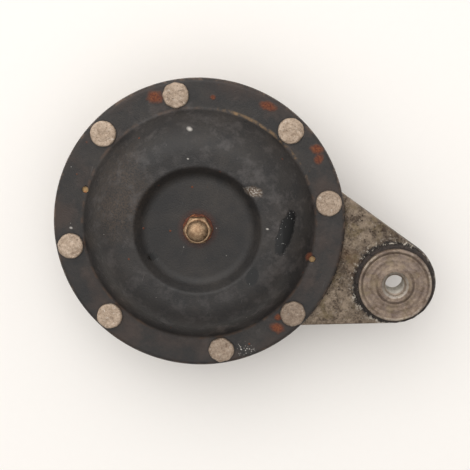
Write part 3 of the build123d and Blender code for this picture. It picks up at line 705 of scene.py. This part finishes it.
def cast_finish():
    """Weathered cast aluminium: grainy skin, pits, brown dirt, white corrosion in spots."""
    cast = Finish("weathered_cast_aluminium", "cast_aluminium")
    cloud = cast.noise(7, 5, 0.62)
    grain = cast.noise(0.7, 5, 0.7)
    pits = cast.cells(1.3).ramp(0.3, 0.1) * cast.noise(3.0, 3).ramp(0.45, 0.58)
    mottle = cast.noise(2.4, 6, 0.72)
    clean = (cloud * 0.35 + mottle * 0.4 + grain * 0.25).ramp(0.44, 0.565)
    cast.tone = cast.mix(clean, (0.052, 0.033, 0.02), (0.27, 0.208, 0.15))
    olive = cast.noise(4.5, 5, 0.7).ramp(0.5, 0.62)
    cast.paint(olive * 0.55, (0.15, 0.11, 0.052))
    cast.paint(pits * 0.8, (0.05, 0.033, 0.024))
    washer_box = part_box("mount_washer")
    lug_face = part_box("mount_grommet")[1].z / MM - bush_flange
    from_lug = cast.away((washer_box[0].x + washer_box[1].x) / 2 / MM)
    dark_ring = from_lug.ramp(20.0, 14.5) * cast.noise(3.0, 5, 0.7).ramp(0.4, 0.56)
    cast.paint(dark_ring * 0.7, (0.04, 0.026, 0.018))
    torn_edge = (from_lug + mottle * 5).ramp(18.1, 17.5)
    cast.paint(torn_edge * 0.9, (0.014, 0.011, 0.01))
    by_rubber = from_lug.ramp(17.0, 14.9) * cast.noise(1.3, 5, 0.75).ramp(0.53, 0.58)
    by_rubber = by_rubber * cast.z.ramp(lug_face - 1.2, lug_face - 0.3)
    bloom = (cast.noise(1.1, 5, 0.8).ramp(0.6, 0.68) * 0.6).most(by_rubber * 0.95)
    cast.paint(bloom, (0.58, 0.52, 0.44))
    stain = cast.noise(12, 4).ramp(0.56, 0.7)
    cast.paint(stain * 0.5, (0.14, 0.075, 0.035))
    return cast.surface(
        Roughness=0.5 + grain * 0.25 + bloom * 0.2,
        Metallic=0.32 - bloom * 0.3,
        Normal=cast.bump(grain * 0.9 + cloud * 0.6 - pits + bloom * 0.4, 0.24),
    )


dress_nodes(cast_finish(), "housing", "upper_bowl", "mounting_rim")

# ---- back cover and its screws ----
# Pressed steel, in the same enamel as the plate, sunk in the middle round the contact
# adjuster. Zinc-plated slotted screws hold it; their plating has dulled and spotted.


def back_enamel_finish():
    """Black enamel that has lain against a bracket: scuffed on the bead, dusty elsewhere."""
    enamel = Finish("scuffed_back_enamel", "black_enamel")
    cloud = enamel.noise(8, 6, 0.6)
    fine = enamel.noise(0.5, 5, 0.7)
    scuff = enamel.z.ramp(0.6, 0.05) * enamel.noise(1.8, 5, 0.7).ramp(0.44, 0.58)
    rust = enamel.noise(4.5, 5, 0.7).ramp(0.63, 0.69)
    dust = (cloud * 0.6 + fine * 0.4).ramp(0.4, 0.66) * 0.6
    enamel.tone = enamel.mix(dust, (0.021, 0.02, 0.02), (0.075, 0.064, 0.052))
    enamel.paint(scuff, (0.3, 0.26, 0.22))
    enamel.paint(rust, (0.2, 0.065, 0.022))
    return enamel.surface(
        Roughness=0.45 + fine * 0.25 + rust * 0.25,
        Metallic=scuff * 0.7,
        Normal=enamel.bump(fine * 0.6 + cloud * 0.4 + rust * fine, 0.15),
    )


def steel_finish(name, slot, clean, dull, spot, roughness):
    """Plated or oiled steel: cloudy dullness, fine scratches and small dark spots."""
    steel = Finish(name, slot)
    cloud = steel.noise(2.4, 5, 0.65)
    fine = steel.noise(0.25, 4, 0.7)
    scratch = steel.noise(0.4, 2, 0.5, steel.stretched((2.0, 0.2, 1.0))).ramp(0.62, 0.72)
    spots = steel.cells(1.4).ramp(0.16, 0.07)
    steel.tone = steel.mix((cloud * 0.6 + fine * 0.4).ramp(0.38, 0.62), dull, clean)
    steel.paint(spots * 0.8, spot)
    return steel.surface(
        Roughness=roughness + fine * 0.2 + spots * 0.3,
        Metallic=0.85 - spots * 0.5,
        Normal=steel.bump(fine * 0.6 + scratch * 0.4 - spots * 0.5, 0.07),
    )


zinc = steel_finish("dulled_zinc_plating", "zinc_steel",
                    (0.55, 0.54, 0.5), (0.34, 0.32, 0.28), (0.16, 0.08, 0.04), 0.34)
dress_nodes(back_enamel_finish(), "back_cover")
dress_nodes(zinc, "cover_screws", "yoke_screws", "stack_screws", "strap_screw", "stack_clamp")
dress_nodes(zinc, "suppressor_strap", "adjuster_screw", "adjuster_lock_nut")

# ---- electromagnet and armature ----
# A soft-iron pot and core carry the flux of an enamelled copper coil, wound on a moulded
# bobbin under varnished cotton tape. The armature hangs from the front plate.

winding_low, winding_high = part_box("coil_winding")
winding_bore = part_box("magnet_core")[1].x / MM + 1.1
wire = 0.7


def winding_mesh():
    """A closed profile turned about Z. Its outside is a row of half circles, one for each
    turn of wire, so that the coil shows its turns."""
    columns = 96
    low = winding_low.z / MM
    high = winding_high.z / MM
    turns = round((high - low) / wire)
    share = np.linspace(0, turns, turns * 6 + 1)
    radius = winding_high.x / MM - wire / 2 + wire / 2 * np.abs(np.sin(np.pi * share)) ** 0.6
    level = low + (high - low) * share / turns
    profile = np.concatenate([np.stack([radius, level], axis=1), [(winding_bore, high), (winding_bore, low)]])
    return turned(np.repeat(profile[:, :1], columns, 1), profile[:, 1:])


def copper_finish():
    """Copper wire under clear brown enamel, darker where it has been hot."""
    copper = Finish("enamelled_copper_wire", "copper_enamel")
    heat = copper.noise(5, 4)
    copper.tone = copper.mix(heat.ramp(0.4, 0.65), (0.5, 0.19, 0.08), (0.22, 0.07, 0.03))
    return copper.surface(
        Roughness=0.26 + copper.noise(0.8) * 0.2,
        Metallic=0.7,
        Coat_Weight=0.4,
        Normal=copper.bump(copper.noise(0.6), 0.03),
    )


def moulded_finish():
    """Brown phenolic moulding: wood flour flecks, dull skin, dusty in the hollows."""
    moulding = Finish("brown_phenolic_moulding", "bakelite")
    flour = moulding.noise(0.35, 5, 0.75)
    cloud = moulding.noise(5, 4)
    moulding.tone = moulding.mix(flour.ramp(0.42, 0.64), (0.075, 0.03, 0.018), (0.17, 0.075, 0.04))
    moulding.paint(cloud.ramp(0.5, 0.7) * 0.4, (0.24, 0.18, 0.13))
    return moulding.surface(
        Roughness=0.34 + flour * 0.2 + cloud * 0.1,
        Normal=moulding.bump(flour, 0.03),
    )


def woven_finish(name, slot, light, dark, thread):
    """Woven cotton: two crossed rows of threads, soaked unevenly with varnish."""
    cloth = Finish(name, slot)
    round_axis = cloth.node("ShaderNodeMath", {"operation": "ARCTAN2"}, {0: cloth.y, 1: cloth.x})
    weft = (cloth.z * (2 * math.pi / thread)).wave()
    warp = (round_axis * (40 * math.pi / thread)).wave()
    soak = cloth.noise(3, 4).ramp(0.42, 0.62)
    weave = weft * warp * 0.5 + 0.5
    cloth.tone = cloth.mix(weave, dark, light)
    cloth.paint(soak * 0.5, dark)
    return cloth.surface(
        Roughness=0.7 + weave * 0.15,
        Normal=cloth.bump(weave + cloth.noise(0.3) * 0.4, 0.08),
    )


coil = new_piece("copper_winding", *winding_mesh())
dress(coil, copper_finish(), "root")
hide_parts("coil_winding")
moulding = moulded_finish()
iron = steel_finish("oiled_soft_iron", "soft_iron",
                    (0.22, 0.21, 0.2), (0.11, 0.1, 0.1), (0.1, 0.045, 0.025), 0.42)
turned_rod = steel_finish("turned_rod_steel", "turned_steel",
                          (0.5, 0.47, 0.44), (0.3, 0.27, 0.24), (0.12, 0.06, 0.04), 0.28)
tape = woven_finish("varnished_cotton_tape", "cotton_tape", (0.56, 0.47, 0.33), (0.3, 0.2, 0.11), 0.6)
sleeving = woven_finish("braided_red_sleeving", "lead_sleeve", (0.34, 0.07, 0.05), (0.13, 0.03, 0.03), 0.5)
dress_nodes(iron, "armature", "magnet_pot", "magnet_core")
dress_nodes(turned_rod, "armature_rod")
dress_nodes(moulding, "rod_tip", "coil_bobbin")
dress_nodes(tape, "coil_tape")
dress_nodes(sleeving, "coil_leads")

# ---- contact breaker ----
# A brass leaf and a spring-bronze leaf, clamped between fibre layers, carry tungsten
# contacts. The rod's button opens them; the adjuster's fibre nose sets their gap.


def fibre_finish():
    """Red vulcanised fibre with a fine paper grain and dark cut edges."""
    fibre = Finish("red_vulcanised_fibre", "fibre")
    grain = fibre.noise(0.5, 5, 0.7, fibre.stretched((1.0, 1.0, 6.0)))
    fibre.tone = fibre.mix(grain.ramp(0.4, 0.62), (0.24, 0.085, 0.045), (0.42, 0.18, 0.1))
    return fibre.surface(Roughness=0.55 + grain * 0.2, Normal=fibre.bump(grain, 0.05))


leaf_brass = brass_finish("bright_leaf_brass", (0.74, 0.55, 0.3), (0.45, 0.29, 0.14), (0.14, 0.08, 0.04))
bronze = steel_finish("spring_bronze_strip", "spring_bronze",
                      (0.68, 0.45, 0.26), (0.42, 0.25, 0.13), (0.12, 0.06, 0.04), 0.26)
tungsten = steel_finish("burnt_tungsten", "tungsten",
                        (0.46, 0.46, 0.48), (0.22, 0.22, 0.25), (0.05, 0.05, 0.07), 0.36)
dress_nodes(fibre_finish(), "stack_insulators", "adjuster_tip")
dress_nodes(leaf_brass, "fixed_leaf_root", "fixed_leaf", "adjuster_bush")
dress_nodes(bronze, "moving_leaf_root", "moving_leaf")
dress_nodes(tungsten, "fixed_contact", "moving_contact")
dress_nodes(moulding, "suppressor")

# ---- terminals ----
# Two brass studs pass through moulded bushes in the bowl's wall. Each has a washer and a
# lock nut, then a washer and a nut for the loom's tag, and a bare threaded end.

terminal_angles = (150, 210)
terminal_level = 10.4
stud_radius = 2.0
stud_pitch = 0.7
stud_head_start = 27.0
stud_head_end = 29.4
stud_head_radius = 3.0
stud_thread_start = 39.0
stud_end = 50.5
stud_groove = (47.2, 48.0)
stud_groove_radius = 1.7
stud_thread_depth = 0.32
stud_end_bevel = 0.35


def stud_mesh():
    """Each stud is rows of points round its own line, laid outwards from the axis. Over
    the threaded length the radius falls by a triangle wave of the distance in pitches less
    the angle in turns, which is a helix. A groove parts off the free end."""
    columns = 40
    turn = angles(columns)
    plain = [
        (axis_gap, stud_head_start), (stud_head_radius, stud_head_start),
        (stud_head_radius, stud_head_end), (stud_radius, stud_head_end),
    ]
    along = np.arange(stud_thread_start, stud_end - 0.05, stud_pitch / 8)
    thread = np.stack([np.full_like(along, stud_radius), along], axis=1)
    end = [(stud_radius - stud_end_bevel, stud_end), (axis_gap, stud_end)]
    profile = np.concatenate([plain, thread, end])
    outward = profile[:, 1:]
    threaded = (outward >= stud_thread_start) & (outward < stud_end - 0.04)
    in_groove = threaded & (outward > stud_groove[0]) & (outward < stud_groove[1])
    phase = (outward / stud_pitch - turn / (2 * np.pi)) % 1
    radius = profile[:, :1] - threaded * (stud_thread_depth * np.abs(2 * phase - 1))
    radius = np.where(in_groove, np.minimum(radius, stud_groove_radius), radius)
    points, faces = [], []
    for angle in terminal_angles:
        way = math.radians(angle)
        side, up, out = np.moveaxis(turned_points(radius, outward), 2, 0)
        x = out * math.cos(way) + side * math.sin(way)
        y = out * math.sin(way) - side * math.cos(way)
        placed = np.stack([x, y, terminal_level + up], axis=2)
        faces += turned_faces(*placed.shape[:2], ring=False, first=len(points))
        points += placed.reshape(-1, 3).tolist()
    return points, faces


terminal_brass = brass_finish("tarnished_terminal_brass",
                              (0.58, 0.44, 0.22), (0.27, 0.18, 0.09), (0.1, 0.12, 0.07))
studs = new_piece("threaded_terminal_studs", *stud_mesh())
dress(studs, terminal_brass, "root")
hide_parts("terminal_studs")
dress_nodes(moulding, "terminal_bushes")
dress_nodes(terminal_brass, "terminal_washers", "terminal_nuts")

# ---- rubber bush ----
# A black rubber bush fills the lug's hole, with a flange on each face. The rubber has
# perished: its edges are ragged and cracked.

bush_low, bush_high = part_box("mount_grommet")
lug_x = (bush_low.x + bush_high.x) / 2 / MM
lug_low = bush_low.z / MM + bush_flange
lug_high = bush_high.z / MM - bush_flange
bush_middle = (lug_low + lug_high) / 2
bush_radius = (bush_high.x - bush_low.x) / 2 / MM
bush_neck = 9.35
bush_bore = 6.62
neck_bore = 6.9


def bush_half_mesh(face, outer, seed):
    """A closed profile turned about the lug's axis: half the neck, and a flange from the
    lug's face to the outer level. The flange's edge is cut back by a ragged wave with a
    few deep nicks, and its face sinks a little between them."""
    columns = 240
    turn = angles(columns)
    step = np.sign(outer - face)
    rim = bush_radius
    profile = np.array([
        (neck_bore, bush_middle), (bush_neck, bush_middle), (bush_neck, face), (rim - 0.8, face),
        (rim - 0.1, face + 0.35 * step), (rim, face + 0.9 * step), (rim - 0.15, outer - 0.5 * step),
        (rim - 0.5, outer - 0.15 * step), (rim - 1.1, outer), (rim - 2.2, outer), (rim - 4.5, outer),
        (bush_bore + 0.4, outer), (bush_bore, outer - 0.2 * step), (bush_bore, face + 0.2 * step),
        (neck_bore, face - 0.4 * step),
    ])
    share = np.clip((profile[:, :1] - rim + 2.4) / 2.4, 0, 1)
    torn = 0.16 + 0.24 * wobble(turn, seed, 5, 40)
    nicks = 0.9 * np.clip(wobble(turn, seed + 1, 6, 30) - 0.85, 0, 1)
    radius = profile[:, :1] - share * np.abs(torn + nicks)
    sunk = 0.1 * np.abs(wobble(turn, seed + 2, 3, 16)) + 0.4 * nicks
    level = profile[:, 1:] - step * share * (np.abs(profile[:, 1:] - face) > 1) * sunk
    points, faces = turned(radius, level, (lug_x, 0))
    return points, faces if step > 0 else flipped(faces)


def rubber_finish():
    """Perished rubber: grey-brown bloom, a net of fine cracks, grit pressed into it."""
    rubber = Finish("perished_black_rubber", "black_rubber")
    cloud = rubber.noise(2.5, 5, 0.65)
    fine = rubber.noise(0.35, 5, 0.75)
    crack = rubber.cells(1.6, "DISTANCE_TO_EDGE").ramp(0.045, 0.0) * rubber.noise(2.2, 3).ramp(0.46, 0.58)
    grit = rubber.cells(1.0).ramp(0.13, 0.07) * rubber.noise(2.0, 3).ramp(0.5, 0.6)
    dust = (cloud * 0.5 + fine * 0.5).ramp(0.38, 0.64)
    rubber.tone = rubber.mix(dust, (0.012, 0.01, 0.009), (0.052, 0.036, 0.028))
    rubber.paint(crack, (0.008, 0.007, 0.007))
    rubber.paint(grit * 0.8, (0.42, 0.36, 0.29))
    return rubber.surface(
        Roughness=0.66 + fine * 0.25,
        Normal=rubber.bump(fine * 0.8 + cloud * 0.5 - crack * 1.2 + grit * 0.6, 0.18),
    )


rubber = rubber_finish()
for name, face, outer, seed in (
    ("rubber_bush_front", lug_high, bush_high.z / MM, 80),
    ("rubber_bush_back", lug_low, bush_low.z / MM, 90),
):
    half = new_piece(name, *bush_half_mesh(face, outer, seed))
    dress(half, rubber, "")
    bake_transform(half)
    if outer > face:
        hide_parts("mount_grommet")

# ---- mounting sleeve ----
# A turned steel sleeve runs through the rubber. Its head is a shallow dish with tool
# rings and a raised rim, its bore is threaded M8, and its far end is flared over a washer.

sleeve_low, sleeve_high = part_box("mount_sleeve")
cup_level = sleeve_high.z / MM
cup_radius = (sleeve_high.x - sleeve_low.x) / 2 / MM
cup_under = cup_level - 2.0
dish_level = cup_level - 0.8
boss_level = cup_level - 0.1
sleeve_end = sleeve_low.z / MM
sleeve_radius = 6.5
flare_radius = 7.6
flare_thickness = 0.8
ring_pitch = 1.9
thread_radius = 4.0
thread_chamfer = 0.9
thread_pitch = 1.25
thread_depth = 0.62


def sleeve_mesh():
    """A closed profile turned about the lug's axis. The dish is rippled by rings of its
    radius. In the bore, the wall comes inwards by a flat-topped wave of the level in
    pitches less the angle in turns, faded at both ends, which is the M8 thread."""
    columns = 128
    turn = angles(columns)
    dish_out = cup_radius - 1.7
    outside = rounded(
        [(sleeve_radius, sleeve_end + flare_thickness), (sleeve_radius, cup_under), (cup_radius, cup_under),
         (cup_radius, cup_level), (cup_radius - 0.8, cup_level), (dish_out, dish_level),
         (sleeve_radius + 0.6, dish_level), (sleeve_radius - 0.4, boss_level),
         (thread_radius + thread_chamfer, boss_level), (thread_radius, boss_level - thread_chamfer)],
        [0.1, 0.3, 0.3, 0.25, 0.4, 0.5, 0.25, 0.12], 0.12,
    )
    top, bottom = boss_level - thread_chamfer, sleeve_end + thread_chamfer
    wall = np.arange(top, bottom, -thread_pitch / 14)[1:]
    bore = np.stack([np.full_like(wall, thread_radius), wall], axis=1)
    flare = [
        (thread_radius, bottom), (thread_radius + thread_chamfer, sleeve_end),
        (flare_radius - 0.2, sleeve_end), (flare_radius, sleeve_end + 0.25),
        (flare_radius - 0.1, sleeve_end + flare_thickness),
    ]
    profile = np.concatenate([outside, bore, flare])
    radius, level = profile[:, :1], profile[:, 1:]
    past_outside = np.arange(len(profile))[:, None] >= len(outside)
    in_bore = past_outside & (radius <= thread_radius) & (level > bottom)
    fade = np.clip(np.minimum(top - level, level - bottom) / 0.8, 0, 1)
    phase = (level / thread_pitch - turn / (2 * np.pi)) % 1
    crest = np.clip(1.6 - 3.2 * np.abs(phase - 0.5), 0, 1)
    in_dish = (radius > sleeve_radius + 0.5) & (radius < dish_out) & (np.abs(level - dish_level) < 0.1)
    rings = 0.016 * np.cos(radius * 2 * np.pi / ring_pitch) - 0.02
    rings = in_dish * (rings - 0.05 * np.abs(wobble(turn, 95, 2, 6)))
    on_rim = (radius > cup_radius - 0.9) * (level > cup_level - 0.5)
    worn_rim = on_rim * 0.07 * np.abs(wobble(turn, 96, 2, 12))
    thread = in_bore * fade * crest * thread_depth
    return turned(radius - thread - worn_rim, level + rings - worn_rim, (lug_x, 0))


def sleeve_finish():
    """Turned steel gone brown: tool rings, dirt in the dish, bright worn edges, painted shade down the bore
    and painted highlights on the thread crests.
    """
    steel = Finish("dulled_turned_steel", "turned_steel")
    from_axis = steel.away(lug_x)
    cloud = steel.noise(3.2, 5, 0.65)
    fine = steel.noise(0.28, 5, 0.72)
    rings = (from_axis * (2 * math.pi / ring_pitch) + cloud * 5).wave()
    mottle = steel.noise(1.1, 6, 0.75)
    clean = (cloud * 0.4 + mottle * 0.35 + fine * 0.25).ramp(0.41, 0.6)
    steel.tone = steel.mix(clean, (0.108, 0.072, 0.05), (0.35, 0.272, 0.21))
    in_dish = from_axis.ramp(cup_radius - 1.2, cup_radius - 2.0)
    in_dish = in_dish * from_axis.ramp(sleeve_radius, sleeve_radius + 0.8)
    streak = steel.noise(2.2, 5, 0.7, steel.stretched((0.6, 1.8, 1.0))).ramp(0.46, 0.6)
    steel.paint(streak * 0.35, (0.215, 0.17, 0.16))
    steel.paint(in_dish * rings.ramp(0.9, -0.9) * 0.22, (0.085, 0.058, 0.045))
    at_edge = from_axis.ramp(cup_radius - 1.1, cup_radius - 0.7)
    at_edge = at_edge * from_axis.ramp(cup_radius + 0.4, cup_radius - 0.1)
    worn_side = steel.noise(9, 3, 0.6).ramp(0.46, 0.6)
    bright = at_edge * steel.z.ramp(cup_level - 0.5, cup_level) * worn_side * mottle.ramp(0.38, 0.56) * 0.6
    chamfered = from_axis.ramp(4.95, 4.7) * steel.z.ramp(boss_level - 1.3, boss_level - 0.6)
    bright = bright.most(chamfered * mottle.ramp(0.36, 0.52))
    grit = steel.noise(0.5, 5, 0.8).ramp(0.63, 0.7)
    steel.paint(grit * 0.5, (0.5, 0.44, 0.38))
    olive = steel.noise(4.5, 4, 0.6).ramp(0.5, 0.64)
    steel.paint(olive * 0.45, (0.25, 0.195, 0.115))
    steel.paint(bright * 0.7, (0.56, 0.51, 0.45))
    # painted shade down the bore, dark at the thread roots, with painted highlights on the thread crests
    deep = steel.z.ramp(boss_level - 1.2, boss_level - 3.0) * from_axis.ramp(5.2, 4.6)
    crest = steel.mix(from_axis.ramp(3.95, 3.6), (0.022, 0.016, 0.012), (0.62, 0.58, 0.51))
    steel.paint(deep * 0.9, crest)
    rust = steel.noise(1.6, 5, 0.75).ramp(0.62, 0.7)
    steel.paint(rust * (1 - bright) * 0.8, (0.15, 0.06, 0.03))
    return steel.surface(
        Roughness=0.4 + fine * 0.26 + rust * 0.25 - bright * 0.12,
        Metallic=0.62 - rust * 0.4,
        Normal=steel.bump(fine * 0.6 + cloud * 0.5 + rings * in_dish * 0.3, 0.11),
    )


sleeve = new_piece("threaded_sleeve", *sleeve_mesh(), crease=32)
dress(sleeve, sleeve_finish(), "bush_sleeve")
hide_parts("mount_sleeve")
dress_nodes(rust, "mount_washer")

# ---- table, light and camera ----
# The horn lies on its back on a pale table. A broad soft lamp, a weaker one across from it
# and a bright room light it, and the camera looks down from nearly overhead.

table_colour = (0.93, 0.9, 0.865)
table_level = frame_box[0].z - 0.0002


def table_finish():
    """Plain matte white card with a barely seen grain."""
    card = Finish("white_card", "")
    grain = card.noise(3, 3)
    card.tone = card.mix(grain, tuple(0.985 * part for part in table_colour), table_colour)
    return card.surface(Roughness=0.9)


def direction(azimuth, tilt):
    """The direction tilted by an angle from upright, towards an azimuth, both in degrees."""
    azimuth = math.radians(azimuth)
    tilt = math.radians(tilt)
    return Vector((math.sin(tilt) * math.cos(azimuth), math.sin(tilt) * math.sin(azimuth), math.cos(tilt)))


def lamp(name, azimuth, elevation, distance, width, power):
    """A square soft lamp aimed at the horn from a direction in degrees."""
    light = bpy.data.lights.new(name, "AREA")
    light.size = width
    light.energy = power
    made = bpy.data.objects.new(name, light)
    way = direction(azimuth, 90 - elevation)
    made.location = Vector((0, 0, rim_level * MM)) + way * distance
    made.rotation_euler = way.to_track_quat("Z", "Y").to_euler()
    scene.collection.objects.link(made)


half_table = 2500.0
table_corners = ((-1, -1), (1, -1), (1, 1), (-1, 1))
table_points = [(x * half_table, y * half_table, table_level / MM) for x, y in table_corners]
table = new_piece("pale_table", table_points, [(0, 1, 2, 3)])
table.data.materials.append(table_finish().material)
lamp("window_lamp", 125, 58, 0.9, 0.8, 3.2)
lamp("far_fill", 310, 65, 1.2, 1.0, 0.8)

# the room is brightest overhead towards the window and falls off away from it
room_light_way = (-0.34, 0.48, 0.81)
room_light_range = (0.0, 1.0, 0.2, 1.32)
world = bpy.data.worlds.new("pale_room")
world.use_nodes = True
room = world.node_tree
background = room.nodes["Background"]
background.inputs["Color"].default_value = (1.0, 0.985, 0.965, 1)
from_window = room.nodes.new("ShaderNodeVectorMath")
from_window.operation = "DOT_PRODUCT"
from_window.inputs[1].default_value = room_light_way
room.links.new(room.nodes.new("ShaderNodeTexCoord").outputs["Generated"], from_window.inputs[0])
brightness = room.nodes.new("ShaderNodeMapRange")
for socket, value in zip(("From Min", "From Max", "To Min", "To Max"), room_light_range):
    brightness.inputs[socket].default_value = value
room.links.new(from_window.outputs["Value"], brightness.inputs["Value"])
room.links.new(brightness.outputs["Result"], background.inputs["Strength"])
scene.world = world
scene.view_settings.view_transform = "Standard"

camera_tilt = 11.153
camera_azimuth = 100.57
camera_roll = math.radians(17.39)
camera_distance = 0.4885
camera_lens = 105.08
camera_aim = Vector((0.01333, 0.00022, rim_level * MM))
back = direction(camera_azimuth, camera_tilt)
level_right = Vector((math.cos(camera_roll), math.sin(camera_roll), 0))
right = (level_right - back * back.dot(level_right)).normalized()
up = back.cross(right)
camera = bpy.data.objects.new("camera", bpy.data.cameras.new("camera"))
camera.data.lens = camera_lens
camera.data.sensor_width = 36.0
camera.data.clip_start = 0.01
camera.data.clip_end = 20.0
axes = Matrix((right, up, back)).transposed().to_4x4()
camera.matrix_world = Matrix.Translation(camera_aim + back * camera_distance) @ axes
scene.collection.objects.link(camera)
scene.camera = camera
